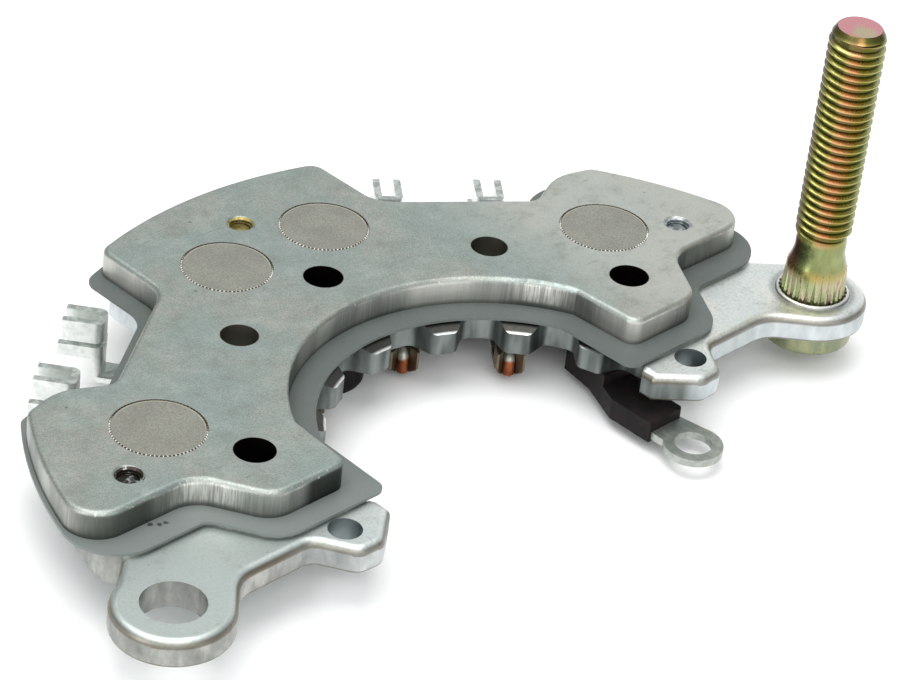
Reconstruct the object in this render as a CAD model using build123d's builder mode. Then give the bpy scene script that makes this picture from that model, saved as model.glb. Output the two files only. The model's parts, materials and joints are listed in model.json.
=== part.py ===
from build123d import *
import os
from math import asin, cos, degrees, radians, sin, sqrt
from typing import NamedTuple

# Alternator rectifier: two horseshoe heat sinks with press-fit diodes, an insulating sheet between
# them, an output stud and a moulded terminal block. Lengths in millimetres.
# The origin is on the rotor's axis, in the plane that the block's feet rest on. +Z is up, along
# the stud, and +Y points to the closed side of the horseshoe.

# Stack heights
foot_height = 6.6            # feet to the underside of the positive heat sink
sink_thickness = 4.3         # positive heat sink, under the sheet
ear_step = 0.4               # the ears lie lower than the pad by this
sheet_thickness = 0.4
plate_thickness = 4.0        # negative heat sink
sink_bottom = foot_height
sink_top = sink_bottom + sink_thickness
ear_top = sink_top - ear_step
plate_bottom = sink_top + sheet_thickness
plate_top = plate_bottom + plate_thickness


# Horseshoe outlines
class Contour(NamedTuple):
    """Sides of a horseshoe's right half, as distances from the rotor's axis."""
    outer_radius: float
    inner_radius: float
    back: float           # side of the back lobe, facing +X
    waist: float          # straight cut between the back lobe and the wing
    crest: float          # side of the wing that faces the waist
    shoulder: float       # end of the wing, next to the outer arc
    wing_front: float     # the wing ends this far behind the axis
    slant: float          # side between the wing's front and the tongue
    tongue_front: float   # the tongue ends this far behind the axis
    tongue_inner: float   # the tongue's inner corner, from the plane of symmetry
    heel: float           # where the inner arc ends, from the plane of symmetry


waist_angle = 55.2           # direction that each straight side faces, in degrees from +X
crest_angle = 116.0
shoulder_angle = 74.6
front_angle = 270.0
slant_angle = -31.0

plate_contour = Contour(63.6, 29.6, 20.2, 50.5, 13.5, 48.6, 12.5, 32.05, 3.2, 26.9, 26.2)
plate_corners = (2.4, 5.0, 2.5, 8.0, 2.0, 4.6, 5.0, 4.5, 2.0)
plate_rolled_edge = 0.8

sheet_contour = Contour(64.1, 25.8, 23.0, 52.5, 16.0, 51.1, 8.35, 35.0, -0.3, 23.0, 22.6)
sheet_corners = (2.6, 5.0, 2.5, 8.0, 2.0, 7.0, 2.0, 5.5, 1.75)

sheet_overhang = 0.35        # the sheet stands this far out over the pad's front
lobe_tip_radius = 24.4
pad_contour = Contour(
    61.3,
    lobe_tip_radius,
    21.0,
    50.8,
    14.3,
    47.9,
    sheet_contour.wing_front + sheet_overhang,
    sheet_contour.slant - sheet_overhang,
    sheet_contour.tongue_front + sheet_overhang,
    lobe_tip_radius - 0.1,
    lobe_tip_radius - 0.2,
)
pad_corners = (2.4, 4.0, 2.5, 6.0, 2.0, 3.5, 2.0, 5.5, 0.5)

# Fluted inner edge of the positive heat sink
flute_count = 8
flute_pitch = 24.0           # degrees
flute_start = 6.0            # direction of the first flute
flute_depth = 3.4
flute_root_radius = lobe_tip_radius + flute_depth
lobe_width = 3.2461          # across a lobe's tip
flute_taper = 2.7            # a flute is this much narrower at its root
flute_mouth = 2 * lobe_tip_radius * sin(radians(flute_pitch / 2)) - lobe_width
flute_floor = flute_mouth - flute_taper
lobe_land = 0.8              # degrees that the cutting outline stays inside its pitch
lobe_round = 1.2
root_round = 1.4
bevel_run = 2.4              # the lobes' tops slope down over this length at their tips
bevel_depth = 1.1

# Ears of the positive heat sink
ear_radius = 7.9
stud_centre = (60.0, -1.3)
ring_centre = (-59.35, -0.9)
ring_hole_radius = 4.2
ear_web_front = -1.8         # straight front of the web between the ears
ear_slope = 133.2            # direction of the straight run into the big ear, in degrees
ear_front_angle = -35.0
ear_back_angle = 68.0
small_ear_centre = (32.5, -2.6)
small_hole_radius = 2.25
small_ear_side = lobe_tip_radius + 0.4
small_ear_root = 3.0         # the small ear starts this far behind the axis
small_ear_heel = 0.3         # its straight side ends this far before the hole's middle
nose_inner = (-2.3, -4.8)    # corners of its nose, from the hole's middle
nose_outer = (1.5, -4.6)
nose_flank = 4.9
ear_corners = (0.7, 2.3, 2.3, 2.2, 5.0)
pad_overlap = ((57.0, 11.0), (44.0, 12.0), (30.0, 4.0))     # the web's end inside the pad
ear_roll_top = 1.2
ear_roll_bottom = 0.5

# Diodes
diode_radius = 6.4
press_clearance = 0.02
diode_edge = 0.3
negative_diode_circle = 47.5
negative_diode_angles = (29.0, 79.0, 101.0, 151.0)
potting_radius = 3.6
potting_height = 1.0
lead_radius = 0.8
lead_tail = 0.8              # the lead ends this far below its strip

# Through bolts, screws and locating holes
bolt_hole_radius = 2.75
bolt_circle = 37.0
post_angles = (19.0, 90.0, 161.0)
screw_circle = 54.1
locating_hole_radius = 2.6
locating_circle = 38.0
locating_angles = (50.0, 120.0)
screw_radius = 1.75
thread_hole_radius = screw_radius + 0.03
thread_mouth = 0.2
screw_sunk = 0.9             # the screw's tip lies this far below the plate's top
screw_head_radius = 3.4
screw_head_height = 1.8
screw_head_edge = 0.6
screw_tip = 0.4
socket_radius = 1.6
socket_depth = 1.0
bush_radius = 3.2
bush_bore_radius = screw_radius + 0.1
neck_radius = 4.4
hole_clearance = 0.15

# Phase terminals
strip_thickness = 0.8
strip_top = 2.9
strip_angle = 51.3           # direction that both strips of one side point, in degrees
strip_offsets = (11.2, -3.7)
strip_width = 4.0
claw_mouths = (62.1, 62.8)   # open end of each strip's claw, measured along the strip
claw_length = 5.75
claw_width = 4.1
claw_wall = 1.05
claw_bend = 1.2
claw_height = 3.1
claw_top = sink_top + 0.5
claw_bevel = 0.9             # slanting end under the upper claw
claw_bevel_rise = 2.3
lower_claw_width = 4.9
lower_claw_reach = 0.4
lower_claw_gap = 0.45
lower_claw_height = 1.8
stem_wing = 1.5
tab_width = 4.0
positive_diode_reach = 38.0  # along the strips
clip_reach = 27.2
clip_length = 3.0
clip_back = 0.6              # wall behind the lead, under its bend
clip_top = 5.3
clip_bottom = 1.3
clip_mouth = 3.4             # the clip's jaws open to this width
clip_taper = 1.0             # its lower corners are cut off by this
clip_taper_height = 1.5
lead_bend_height = 4.0
lead_bend_radius = 1.0

# Terminal block
post_radius = 6.8
band_wall = 0.6              # thinnest wall beside the positive diodes' potting
lug_thickness = 1.5
lug_radius = 4.2
lug_width = 7.0
arm_inner = 22.8
arm_outer = 29.35
arm_front = -5.1
arm_top = 4.9
arm_bottom = 1.8
arm_corner = 0.4
arm_shoulder = 5.0           # the block is full height behind this
arm_root = (24.0, 5.0)
arm_heel = (22.8, 2.2)
arm_flank = ((25.7, 8.8), (26.7, 14.5), (31.0, 17.5))

# Ring terminal
ring_terminal_centre = (26.0, -10.3)
ring_terminal_radius = 4.15
ring_terminal_hole_radius = 2.6
ring_terminal_top = 3.3
ring_terminal_thickness = 1.1
neck_left = 2.8              # sides of the neck, from the ring's middle
neck_right = 3.3
ring_terminal_root = -1.0    # how far the neck reaches into the arm

# Output stud
stud_radius = 4.0
stud_top = 54.3
stud_tip_chamfer = 0.9
thread_start = 20.0
neck_shank_radius = 3.6
neck_bottom = 18.0
knurl_top = 13.6             # the shank tapers from here to the neck
knurl_radius = 4.65
knurl_groove = 0.3
knurl_count = 28
knurl_land = 0.8             # share of the pitch that a groove takes
stud_head_radius = 6.5
stud_head_bottom = 3.3
stud_head_round = 0.9


def facing(angle):
    """Unit vector in the direction of an angle in degrees."""
    return Vector(cos(radians(angle)), sin(radians(angle)))


def polar(radius, angle):
    """Point at a radius and an angle in degrees."""
    return facing(angle) * radius


def crossing(first, second):
    """Point where two straight sides meet, each given as the angle it faces and its distance."""
    a, b = facing(first[0]), facing(second[0])
    turn = a.X * b.Y - a.Y * b.X
    return Vector((first[1] * b.Y - second[1] * a.Y) / turn, (a.X * second[1] - b.X * first[1]) / turn)


def on_circle(side, radius):
    """Point where a straight side leaves a circle about the axis, clockwise."""
    normal = facing(side[0])
    along = Vector(normal.Y, -normal.X)
    return normal * side[1] + along * sqrt(radius**2 - side[1] ** 2)


def horseshoe(contour, corners):
    """Face of a horseshoe, drawn as its right half with rounded corners and mirrored."""
    back = (0.0, contour.back)
    waist = (waist_angle, contour.waist)
    crest = (crest_angle, contour.crest)
    shoulder = (shoulder_angle, contour.shoulder)
    wing_front = (front_angle, -contour.wing_front)
    slant = (slant_angle, contour.slant)
    tongue_front = (front_angle, -contour.tongue_front)
    back_end = Vector(contour.back, sqrt(contour.outer_radius**2 - contour.back**2))
    wing_start = on_circle(shoulder, contour.outer_radius)
    wing_end = Vector(sqrt(contour.outer_radius**2 - contour.wing_front**2), contour.wing_front)
    heel = Vector(contour.heel, sqrt(contour.inner_radius**2 - contour.heel**2))
    points = [
        back_end,
        crossing(back, waist),
        crossing(waist, crest),
        crossing(crest, shoulder),
        wing_start,
        wing_end,
        crossing(wing_front, slant),
        crossing(slant, tongue_front),
        Vector(contour.tongue_inner, contour.tongue_front),
    ]
    with BuildSketch() as face:
        with BuildLine():
            RadiusArc((0, contour.outer_radius), points[0], contour.outer_radius)
            Polyline(*points[:5])
            RadiusArc(wing_start, wing_end, contour.outer_radius)
            Polyline(*points[5:], heel)
            RadiusArc(heel, (0, contour.inner_radius), -contour.inner_radius)
            Line((0, contour.inner_radius), (0, contour.outer_radius))
        make_face()
        for point, radius in zip(points, corners):
            fillet(face.vertices().sort_by_distance(point)[0], radius)
        mirror(about=Plane.YZ)
    return face.sketch


def ear(centre):
    """Face of one side's ears, with the web between them, closed inside the pad."""
    centre = Vector(*centre)
    leaving = facing(ear_slope + 90)
    contact = centre + leaving * ear_radius
    run = facing(ear_slope)
    web_corner = contact + run * ((ear_web_front - contact.Y) / run.Y)
    outside = centre + polar(ear_radius, ear_back_angle)
    small = Vector(*small_ear_centre)
    start = (small_ear_side, small_ear_root)
    with BuildSketch() as face:
        with BuildLine():
            FilletPolyline(
                start,
                (small_ear_side, small.Y - small_ear_heel),
                small + nose_inner,
                small + nose_outer,
                (small.X + nose_flank, ear_web_front),
                web_corner,
                contact,
                radius=ear_corners,
            )
            ThreePointArc(contact, centre + polar(ear_radius, ear_front_angle), outside)
            Polyline(outside, *pad_overlap, start)
        make_face()
    return face.sketch


def save(part, name):
    """Label a finished piece and write it."""
    part.label = name
    export_step(part, f"parts/{name}.step")
    print(name, round(part.volume, 2), len(part.solids()))


os.makedirs("parts", exist_ok=True)

# Places that several pieces share
negative_diode_places = [polar(negative_diode_circle, angle) for angle in negative_diode_angles]
bolt_places = [polar(bolt_circle, angle) for angle in post_angles]
screw_places = [polar(screw_circle, angle) for angle in post_angles]
locating_places = [polar(locating_circle, angle) for angle in locating_angles]


def on_strip(side, offset, reach):
    """Point on a phase terminal's middle line, at a reach along it; side is 1 right, -1 left."""
    along = facing(strip_angle)
    across = Vector(-along.Y, along.X)
    point = along * reach + across * offset
    return Vector(side * point.X, point.Y)


terminal_sides = [(side, offset) for side in (1, -1) for offset in strip_offsets]
positive_diode_places = [on_strip(side, offset, positive_diode_reach) for side, offset in terminal_sides]


# Negative heat sink: a stamped plate with rolled top edges
with BuildPart() as negative_heat_sink:
    with BuildSketch(Plane.XY.offset(plate_bottom)):
        add(horseshoe(plate_contour, plate_corners))
    extrude(amount=plate_thickness)
    fillet(negative_heat_sink.faces().sort_by(Axis.Z)[-1].outer_wire().edges(), plate_rolled_edge)
    with BuildSketch(Plane.XY.offset(plate_bottom)):
        with Locations(*negative_diode_places):
            Circle(diode_radius + press_clearance)
        with Locations(*bolt_places):
            Circle(bolt_hole_radius)
        with Locations(*locating_places):
            Circle(locating_hole_radius)
        with Locations(*screw_places):
            Circle(thread_hole_radius)
    extrude(amount=plate_thickness, mode=Mode.SUBTRACT)
    mouths = negative_heat_sink.edges().filter_by(GeomType.CIRCLE).filter_by(
        lambda edge: abs(edge.radius - thread_hole_radius) < 1e-4 and edge.center().Z > plate_top - 0.1
    )
    chamfer(mouths, thread_mouth)
save(negative_heat_sink.part, "negative_heat_sink")

# Insulating sheet
with BuildPart() as insulating_sheet:
    with BuildSketch(Plane.XY.offset(sink_top)):
        add(horseshoe(sheet_contour, sheet_corners))
        with Locations(*negative_diode_places):
            Circle(potting_radius + 2 * hole_clearance, mode=Mode.SUBTRACT)
        with Locations(*bolt_places):
            Circle(neck_radius + hole_clearance, mode=Mode.SUBTRACT)
        with Locations(*screw_places):
            Circle(bush_radius + hole_clearance, mode=Mode.SUBTRACT)
    extrude(amount=sheet_thickness)
save(insulating_sheet.part, "insulating_sheet")


def flute_face():
    """Space between two lobes of the fluted edge, centred on +X."""
    mouth_angle = degrees(asin(flute_mouth / 2 / lobe_tip_radius))
    land_angle = flute_pitch / 2 - lobe_land
    mouth_low = polar(lobe_tip_radius, -mouth_angle)
    mouth_high = polar(lobe_tip_radius, mouth_angle)
    land_low = polar(lobe_tip_radius, -land_angle)
    land_high = polar(lobe_tip_radius, land_angle)
    with BuildSketch() as face:
        with BuildLine():
            FilletPolyline(
                land_low,
                mouth_low,
                (flute_root_radius, -flute_floor / 2),
                (flute_root_radius, flute_floor / 2),
                mouth_high,
                land_high,
                radius=(lobe_round, root_round, root_round, lobe_round),
            )
            Polyline(land_high, (lobe_tip_radius - flute_depth, 0), land_low)
        make_face()
    return face.sketch


# Positive heat sink: cast, with rolled ears and a fluted, bevelled inner edge
with BuildPart() as positive_heat_sink:
    with BuildSketch(Plane.XY.offset(sink_bottom)):
        add(horseshoe(pad_contour, pad_corners))
    extrude(amount=sink_thickness)
for side, side_centre in ((1, stud_centre), (-1, ring_centre)):
    with BuildPart() as ears:
        with BuildSketch(Plane.XY.offset(sink_bottom)):
            add(ear((abs(side_centre[0]), side_centre[1])))
            if side < 0:
                mirror(about=Plane.YZ, mode=Mode.REPLACE)
        extrude(amount=sink_thickness - ear_step)
        fillet(ears.edges().group_by(Axis.Z)[-1], ear_roll_top)
        fillet(ears.edges().group_by(Axis.Z)[0], ear_roll_bottom)
    with positive_heat_sink:
        add(ears.part)
with positive_heat_sink:
    with BuildSketch(Plane.XY.offset(sink_bottom)):
        with PolarLocations(0, flute_count, flute_start, flute_count * flute_pitch):
            add(flute_face())
    extrude(amount=sink_thickness, mode=Mode.SUBTRACT)
    with BuildSketch(Plane.XZ):
        with BuildLine():
            Polyline(
                (lobe_tip_radius + bevel_run, sink_top),
                (lobe_tip_radius, sink_top - bevel_depth),
                (lobe_tip_radius - bevel_run, sink_top - bevel_depth),
                (lobe_tip_radius - bevel_run, sink_top),
                close=True,
            )
        make_face()
    revolve(axis=Axis.Z, mode=Mode.SUBTRACT)
    with BuildSketch(Plane.XY.offset(sink_bottom)):
        with Locations(*positive_diode_places):
            Circle(diode_radius + press_clearance)
        with Locations(*negative_diode_places):
            Circle(potting_radius + 2 * hole_clearance)
        with Locations(*bolt_places):
            Circle(neck_radius + hole_clearance)
        with Locations(*screw_places):
            Circle(bush_radius + hole_clearance)
        with Locations(stud_centre):
            Circle(knurl_radius + press_clearance)
        with Locations(ring_centre):
            Circle(ring_hole_radius)
        with Locations(small_ear_centre, (-small_ear_centre[0], small_ear_centre[1])):
            Circle(small_hole_radius)
    extrude(amount=sink_thickness, mode=Mode.SUBTRACT)
save(positive_heat_sink.part, "positive_heat_sink")


def diode(place, top, height, name):
    """Press-fit diode: a button with its potting below."""
    with BuildPart() as button:
        with BuildSketch(Plane.XY.offset(top)):
            with Locations(place):
                Circle(diode_radius)
        extrude(amount=-height)
        chamfer(button.edges().filter_by(GeomType.CIRCLE).sort_by(Axis.Z)[-1], diode_edge)
        with BuildSketch(Plane.XY.offset(top - height)):
            with Locations(place):
                Circle(potting_radius)
        extrude(amount=-potting_height, taper=15)
        with BuildSketch(Plane.XY.offset(top - height - potting_height)):
            with Locations(place):
                Circle(lead_radius + press_clearance)
        extrude(amount=potting_height + 1, mode=Mode.SUBTRACT)
    save(button.part, name)


strip_bottom = strip_top - strip_thickness
lead_end = strip_bottom - lead_tail
for number, place in enumerate(negative_diode_places, 1):
    diode(place, plate_top, plate_thickness, f"negative_diode_{number}")
    with BuildPart() as lead:
        with BuildSketch(Plane.XY.offset(lead_end)):
            with Locations(place):
                Circle(lead_radius)
        extrude(amount=plate_bottom + 1 - lead_end)
    save(lead.part, f"negative_diode_lead_{number}")

for number, (side, offset) in enumerate(terminal_sides, 1):
    clip_place = on_strip(side, offset, clip_reach)
    place = positive_diode_places[number - 1]
    diode(place, sink_top, sink_thickness, f"positive_diode_{number}")
    with BuildPart() as lead:
        with BuildLine() as route:
            FilletPolyline(
                (place.X, place.Y, sink_bottom + 1),
                (place.X, place.Y, lead_bend_height),
                (clip_place.X, clip_place.Y, lead_bend_height),
                (clip_place.X, clip_place.Y, clip_bottom),
                radius=lead_bend_radius,
            )
        with BuildSketch(Plane(route.line @ 0, z_dir=route.line % 0)):
            Circle(lead_radius)
        sweep()
    save(lead.part, f"positive_diode_lead_{number}")


def claw_face(back, mouth, offset, width):
    """Plan of a claw: a strip folded to a U whose mouth points outwards."""
    middle = (back + mouth) / 2
    with BuildSketch() as face:
        with Locations((middle, offset)):
            Rectangle(mouth - back, width)
        fillet(face.vertices().sort_by(Axis.X)[:2], claw_bend)
        with Locations((middle + claw_wall, offset)):
            Rectangle(mouth - back, width - 2 * claw_wall, mode=Mode.SUBTRACT)
    return face.sketch


def strip_plane(height):
    """Plane at a height whose X axis points along the right-hand strips."""
    return Plane((0, 0, height), x_dir=facing(strip_angle), z_dir=(0, 0, 1))


def along_strip(point):
    """Reach and offset of a point in the strips' plane."""
    along = facing(strip_angle)
    return (point.X * along.X + point.Y * along.Y, point.Y * along.X - point.X * along.Y)


def strip_side(offset):
    """Upright plane through a right-hand strip's middle line; its X is the reach, its Y the height."""
    across = facing(strip_angle - 90)
    return Plane(on_strip(1, offset, 0), x_dir=facing(strip_angle), z_dir=across)


def clip_end(offset):
    """Upright plane across a right-hand strip, at the clip's inner end."""
    place = on_strip(1, offset, clip_reach - clip_length / 2)
    return Plane(place, x_dir=facing(strip_angle + 90), z_dir=facing(strip_angle))


# Phase terminals: one pressed strip each, with a claw, a side tab and an inner clip
upper_claw_bottom = claw_top - claw_height
lower_claw_top = upper_claw_bottom - lower_claw_gap
lower_claw_bottom = lower_claw_top - lower_claw_height
lead_gap = lead_radius + press_clearance
for number, (side, offset) in enumerate(terminal_sides, 1):
    claw_mouth = claw_mouths[(number - 1) % 2]
    claw_back = claw_mouth - claw_length
    lead_angle = negative_diode_angles[1 - (number - 1) % 2]
    tab_reach, tab_offset = along_strip(polar(negative_diode_circle, lead_angle))
    with BuildPart() as phase_terminal:
        with BuildSketch(strip_plane(upper_claw_bottom)):
            add(claw_face(claw_back, claw_mouth, offset, claw_width))
        extrude(amount=claw_height)
        with BuildSketch(strip_side(offset)):
            with BuildLine():
                Polyline(
                    (claw_mouth - claw_bevel, upper_claw_bottom),
                    (claw_mouth, upper_claw_bottom),
                    (claw_mouth, upper_claw_bottom + claw_bevel_rise),
                    close=True,
                )
            make_face()
        extrude(amount=claw_width, both=True, mode=Mode.SUBTRACT)
        with BuildSketch(strip_plane(lower_claw_bottom)):
            add(claw_face(claw_back, claw_mouth + lower_claw_reach, offset, lower_claw_width))
        extrude(amount=lower_claw_height)
        with BuildSketch(strip_plane(strip_bottom)):
            add(claw_face(claw_back, claw_back + stem_wing, offset, claw_width))
        extrude(amount=lower_claw_bottom - strip_bottom)
        with BuildSketch(strip_plane(strip_bottom)):
            with Locations((claw_back + claw_wall / 2, offset)):
                Rectangle(claw_wall, claw_width - 2 * claw_bend)
        extrude(amount=claw_top - strip_bottom)
        with BuildSketch(strip_plane(strip_bottom)):
            with Locations(((clip_reach + claw_back + claw_wall) / 2, offset)):
                Rectangle(claw_back + claw_wall - clip_reach, strip_width)
            with Locations((tab_reach, (offset + tab_offset) / 2)):
                Rectangle(tab_width, abs(tab_offset - offset))
            with Locations((tab_reach, tab_offset)):
                Circle(tab_width / 2)
                Circle(lead_radius + press_clearance, mode=Mode.SUBTRACT)
        extrude(amount=strip_thickness)
        half, foot = strip_width / 2, strip_width / 2 - clip_taper
        taper_top = clip_bottom + clip_taper_height
        with BuildSketch(clip_end(offset)):
            with BuildLine():
                Polyline(
                    (-half, clip_top),
                    (-half, taper_top),
                    (-foot, clip_bottom),
                    (foot, clip_bottom),
                    (half, taper_top),
                    (half, clip_top),
                    close=True,
                )
            make_face()
        extrude(amount=clip_length)
        with BuildSketch(strip_plane(clip_bottom)):
            with BuildLine():
                mouth, back = clip_reach - clip_length / 2, clip_reach + clip_length / 2 - clip_back
                Polyline(
                    (mouth, offset + clip_mouth / 2),
                    (clip_reach, offset + lead_gap),
                    (back, offset + lead_gap),
                    (back, offset - lead_gap),
                    (clip_reach, offset - lead_gap),
                    (mouth, offset - clip_mouth / 2),
                    close=True,
                )
            make_face()
        extrude(amount=clip_top - clip_bottom, mode=Mode.SUBTRACT)
        with BuildSketch(strip_plane(lead_bend_height - lead_radius - hole_clearance)):
            with Locations((clip_reach, offset)):
                Rectangle(clip_length, 2 * lead_gap)
        extrude(amount=clip_top, mode=Mode.SUBTRACT)
        if side < 0:
            mirror(about=Plane.YZ, mode=Mode.REPLACE)
    save(phase_terminal.part, f"phase_terminal_{number}")

# Ring terminal: its neck sits in a pocket of the block's arm
ring_terminal_bottom = ring_terminal_top - ring_terminal_thickness


def neck_face(clearance=0.0):
    """Plan of the neck, from the ring's middle to its root in the arm; its outer side meets the ring."""
    middle = Vector(*ring_terminal_centre)
    left, right = middle.X - neck_left - clearance, middle.X + neck_right + clearance
    root = ring_terminal_root + clearance
    with BuildSketch() as face:
        with BuildLine():
            Polyline(
                (left, middle.Y),
                (left, root),
                (right, root),
                (right, arm_front),
                (middle.X + ring_terminal_radius, middle.Y),
                close=True,
            )
        make_face()
    return face.sketch


with BuildPart() as ring_terminal:
    with BuildSketch(Plane.XY.offset(ring_terminal_bottom)):
        with Locations(ring_terminal_centre):
            Circle(ring_terminal_radius)
        add(neck_face())
        with Locations(ring_terminal_centre):
            Circle(ring_terminal_hole_radius, mode=Mode.SUBTRACT)
    extrude(amount=ring_terminal_thickness)
save(ring_terminal.part, "ring_terminal")

# Terminal block: a moulded band with three feet, lugs for the screws and an arm
diode_radii = [place.length for place in positive_diode_places]
band_inner_radius = min(diode_radii) - potting_radius - hole_clearance - band_wall
band_outer_radius = max(diode_radii) + potting_radius + hole_clearance + band_wall
with BuildPart() as terminal_block:
    with BuildSketch(Plane.XY.offset(strip_top)):
        with BuildLine():
            first, last = post_angles[0], post_angles[-1]
            CenterArc((0, 0), band_outer_radius, first, last - first)
            CenterArc((0, 0), band_inner_radius, first, last - first)
            Line(polar(band_inner_radius, first), polar(band_outer_radius, first))
            Line(polar(band_inner_radius, last), polar(band_outer_radius, last))
        make_face()
        with Locations(*positive_diode_places):
            Circle(potting_radius + hole_clearance, mode=Mode.SUBTRACT)
        with Locations(*negative_diode_places):
            Circle(lead_radius + hole_clearance, mode=Mode.SUBTRACT)
        with Locations(*screw_places):
            Circle(screw_head_radius + hole_clearance, mode=Mode.SUBTRACT)
    extrude(amount=sink_bottom - strip_top)
    with BuildSketch(Plane.XY.offset(strip_top)):
        groove_length = positive_diode_reach - clip_reach + clip_length / 2
        for side, offset in terminal_sides:
            groove_middle = on_strip(side, offset, positive_diode_reach - groove_length / 2)
            with Locations(Location(groove_middle, side * strip_angle)):
                Rectangle(groove_length, 2 * (lead_radius + hole_clearance))
            with Locations(Location(on_strip(side, offset, clip_reach), side * strip_angle)):
                Rectangle(clip_length + 2 * hole_clearance, strip_width + 2 * hole_clearance)
    extrude(amount=sink_bottom - strip_top, mode=Mode.SUBTRACT)
    with BuildSketch(Plane.XY.offset(sink_bottom - lug_thickness)):
        for angle, place in zip(post_angles, screw_places):
            with Locations(Location(polar((bolt_circle + screw_circle) / 2, angle), angle)):
                Rectangle(screw_circle - bolt_circle, lug_width)
            with Locations(place):
                Circle(lug_radius)
    extrude(amount=lug_thickness)
    with BuildSketch():
        with Locations(*bolt_places):
            Circle(post_radius)
    extrude(amount=sink_bottom)
    with BuildSketch(Plane.XY.offset(sink_bottom)):
        with Locations(*bolt_places):
            Circle(neck_radius)
    extrude(amount=plate_bottom - sink_bottom)
    with BuildSketch(Plane.XY.offset(arm_bottom)):
        with BuildLine():
            Polyline(
                (arm_outer, arm_shoulder),
                (arm_outer, arm_front + arm_corner),
                (arm_outer - arm_corner, arm_front),
                (arm_inner, arm_front),
                arm_heel,
                *arm_flank,
                bolt_places[0],
                close=True,
            )
        make_face()
    extrude(amount=arm_top - arm_bottom)
    with BuildSketch(Plane.XY.offset(arm_top)):
        with BuildLine():
            Polyline((arm_outer, arm_shoulder), arm_root, *arm_flank, bolt_places[0], close=True)
        make_face()
    extrude(amount=sink_bottom - arm_top)
    with BuildSketch(Plane.XY.offset(ring_terminal_bottom)):
        add(neck_face(press_clearance))
    extrude(amount=ring_terminal_thickness, mode=Mode.SUBTRACT)
    with BuildSketch():
        with Locations(*bolt_places):
            Circle(bolt_hole_radius)
        with Locations(*screw_places):
            Circle(bush_bore_radius)
    extrude(amount=plate_bottom, mode=Mode.SUBTRACT)
save(terminal_block.part, "terminal_block")

# Output stud: head, pressed shank, knurl, neck and thread
with BuildPart() as output_stud:
    with BuildSketch(Plane.XZ):
        with BuildLine():
            Polyline(
                (0, stud_head_bottom),
                (stud_head_radius, stud_head_bottom),
                (stud_head_radius, sink_bottom),
                (knurl_radius, sink_bottom),
                (knurl_radius, knurl_top),
                (neck_shank_radius, neck_bottom),
                (neck_shank_radius, thread_start - (stud_radius - neck_shank_radius)),
                (stud_radius, thread_start),
                (stud_radius, stud_top - stud_tip_chamfer),
                (stud_radius - stud_tip_chamfer, stud_top),
                (0, stud_top),
                close=True,
            )
        make_face()
    revolve(axis=Axis.Z)
    fillet(output_stud.edges().filter_by(GeomType.CIRCLE).sort_by(Axis.Z)[0], stud_head_round)
    with BuildSketch(Plane.XY.offset(ear_top)):
        with PolarLocations(knurl_radius, knurl_count):
            with BuildLine():
                half = knurl_radius * radians(180 / knurl_count) * knurl_land
                Polyline((-knurl_groove, 0), (knurl_groove, 2 * half), (knurl_groove, -2 * half), close=True)
            make_face()
    extrude(amount=neck_bottom - ear_top, mode=Mode.SUBTRACT)
output_stud_part = Pos(*stud_centre) * output_stud.part
save(output_stud_part, "output_stud")

# Screws and the insulating bushes around them
for number, place in enumerate(screw_places, 1):
    with BuildPart() as bush:
        with BuildSketch(Plane.XY.offset(sink_bottom)):
            with Locations(place):
                Circle(bush_radius)
                Circle(bush_bore_radius, mode=Mode.SUBTRACT)
        extrude(amount=plate_bottom - sink_bottom)
    save(bush.part, f"insulating_bush_{number}")
    lug_bottom = sink_bottom - lug_thickness
    with BuildPart() as screw:
        with BuildSketch(Plane.XY.offset(lug_bottom)):
            with Locations(place):
                Circle(screw_head_radius)
        extrude(amount=-screw_head_height)
        chamfer(screw.edges().sort_by(Axis.Z)[0], screw_head_edge)
        with BuildSketch(Plane.XY.offset(lug_bottom - screw_head_height)):
            with Locations(place):
                RegularPolygon(socket_radius, 6)
        extrude(amount=socket_depth, mode=Mode.SUBTRACT)
        with BuildSketch(Plane.XY.offset(lug_bottom)):
            with Locations(place):
                Circle(screw_radius)
        extrude(amount=plate_top - screw_sunk - lug_bottom)
        chamfer(screw.edges().filter_by(GeomType.CIRCLE).sort_by(Axis.Z)[-1], screw_tip)
    save(screw.part, f"assembly_screw_{number}")
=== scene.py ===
import json
from math import cos, pi, radians, sin

import bmesh
import bpy
from mathutils import Matrix, Vector


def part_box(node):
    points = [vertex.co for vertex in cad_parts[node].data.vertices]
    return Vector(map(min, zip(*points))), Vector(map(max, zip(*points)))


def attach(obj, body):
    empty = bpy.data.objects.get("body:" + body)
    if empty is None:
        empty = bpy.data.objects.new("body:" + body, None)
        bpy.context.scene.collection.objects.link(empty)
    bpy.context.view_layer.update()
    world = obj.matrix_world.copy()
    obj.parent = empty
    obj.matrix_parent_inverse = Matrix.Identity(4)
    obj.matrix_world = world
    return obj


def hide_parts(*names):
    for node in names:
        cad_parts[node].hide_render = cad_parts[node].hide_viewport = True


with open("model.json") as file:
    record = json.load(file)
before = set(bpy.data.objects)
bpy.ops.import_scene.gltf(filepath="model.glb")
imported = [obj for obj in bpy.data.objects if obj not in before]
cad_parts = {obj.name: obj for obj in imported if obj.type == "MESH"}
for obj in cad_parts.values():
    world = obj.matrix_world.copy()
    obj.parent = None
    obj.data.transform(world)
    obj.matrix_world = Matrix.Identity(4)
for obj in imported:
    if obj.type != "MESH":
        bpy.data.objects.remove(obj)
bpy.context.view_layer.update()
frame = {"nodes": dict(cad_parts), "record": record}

MM = 0.001


# Places that the frame gives, in millimetres
def top(node):
    """Height of a node's highest point."""
    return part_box(node)[1].z / MM


def bottom(node):
    """Height of a node's lowest point."""
    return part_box(node)[0].z / MM


def middle(node):
    """Middle of a node's box."""
    low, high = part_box(node)
    return (low + high) / (2 * MM)


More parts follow.
